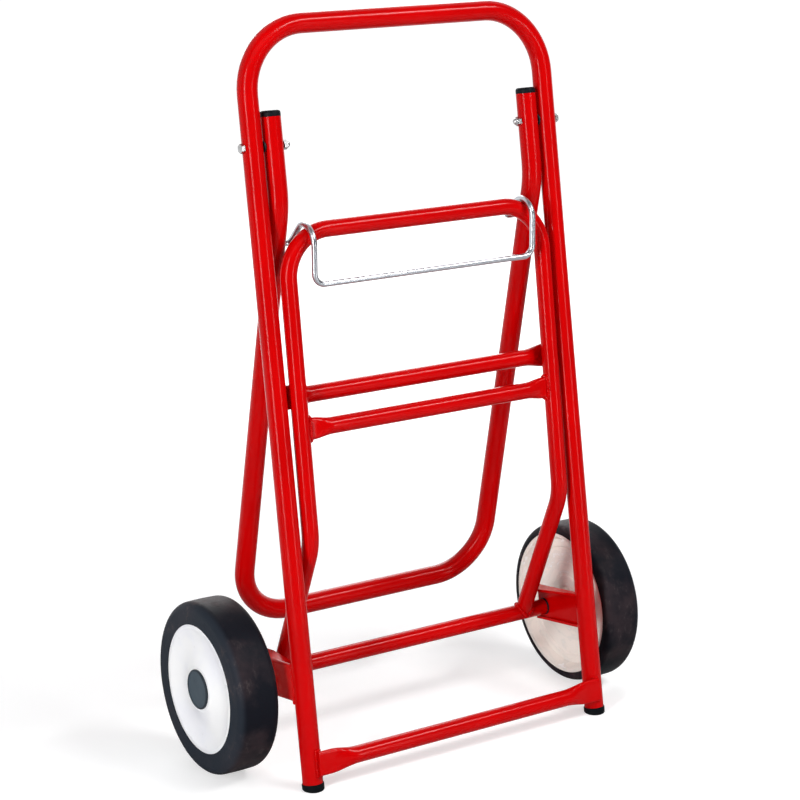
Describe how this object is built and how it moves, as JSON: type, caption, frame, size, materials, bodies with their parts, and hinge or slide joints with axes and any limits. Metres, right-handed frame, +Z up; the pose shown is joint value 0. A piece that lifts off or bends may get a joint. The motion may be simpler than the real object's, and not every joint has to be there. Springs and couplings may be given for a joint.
{
  "type": "folding hand truck",
  "caption": "Folding hand truck with a bent-tube frame, a platform that folds down from the axle, a swing-out rear stand, a wire bail and solid-tyred wheels.",
  "frame": {"origin": "on the floor, at the middle of the bounding box's bottom face", "axes": "+Z up; +X along the axle to the right as seen from the front; +Y to the back, away from the folded platform's front"},
  "size_m": [0.579, 0.2465, 0.8767],
  "materials": {
    "red_paint": "glossy red paint on steel tube",
    "foot_rubber": "matt black rubber",
    "zinc_steel": "bright zinc-plated steel",
    "bright_wire": "bright plated wire",
    "black_plastic": "satin black plastic",
    "tyre_rubber": "smooth black solid rubber, slightly scuffed",
    "white_plastic": "satin white moulded plastic",
    "slate_plastic": "dark slate moulded plastic"
  },
  "bodies": {
    "main_frame": {"main_frame_tube": "red_paint", "foot_cap_left": "foot_rubber", "foot_cap_right": "foot_rubber", "bottom_crossbar": "red_paint", "upper_crossbar": "red_paint", "axle_bracket_left": "red_paint", "axle_bracket_right": "red_paint", "axle_rod": "zinc_steel", "wheel_spacers": "zinc_steel", "axle_retainers": "zinc_steel", "pivot_bolts": "zinc_steel", "pivot_nuts": "zinc_steel", "pivot_washers": "black_plastic"},
    "platform": {"platform_tube": "red_paint", "platform_crossbar": "red_paint", "pivot_tube": "red_paint", "pivot_bush_left": "black_plastic", "pivot_bush_right": "black_plastic"},
    "stand": {"stand_tube": "red_paint", "stand_plug_left": "black_plastic", "stand_plug_right": "black_plastic"},
    "bail": {"wire_bail": "bright_wire"},
    "wheel_left": {"tyre_left": "tyre_rubber", "hub_left": "white_plastic", "hub_bush_left": "black_plastic", "hub_cap_left": "slate_plastic"},
    "wheel_right": {"tyre_right": "tyre_rubber", "hub_right": "white_plastic", "hub_bush_right": "black_plastic", "hub_cap_right": "slate_plastic"}
  },
  "joints": [
    {"name": "platform_fold", "type": "hinge", "parent": "main_frame", "child": "platform", "pos_m": [0, 0.01424, 0.1025], "axis": [1, 0, 0], "range_deg": [0, 85.5]},
    {"name": "stand_swing", "type": "hinge", "parent": "main_frame", "child": "stand", "pos_m": [0, 0.00995, 0.73129], "axis": [1, 0, 0], "range_deg": [0, 60]},
    {"name": "bail_swing", "type": "hinge", "parent": "platform", "child": "bail", "pos_m": [0, -0.01447, 0.62557], "axis": [-1, 0, 0], "range_deg": [0, 100]},
    {"name": "wheel_left_spin", "type": "hinge", "parent": "main_frame", "child": "wheel_left", "pos_m": [-0.26, 0.01424, 0.1025], "axis": [1, 0, 0], "continuous": true},
    {"name": "wheel_right_spin", "type": "hinge", "parent": "main_frame", "child": "wheel_right", "pos_m": [0.26, 0.01424, 0.1025], "axis": [1, 0, 0], "continuous": true}
  ]
}
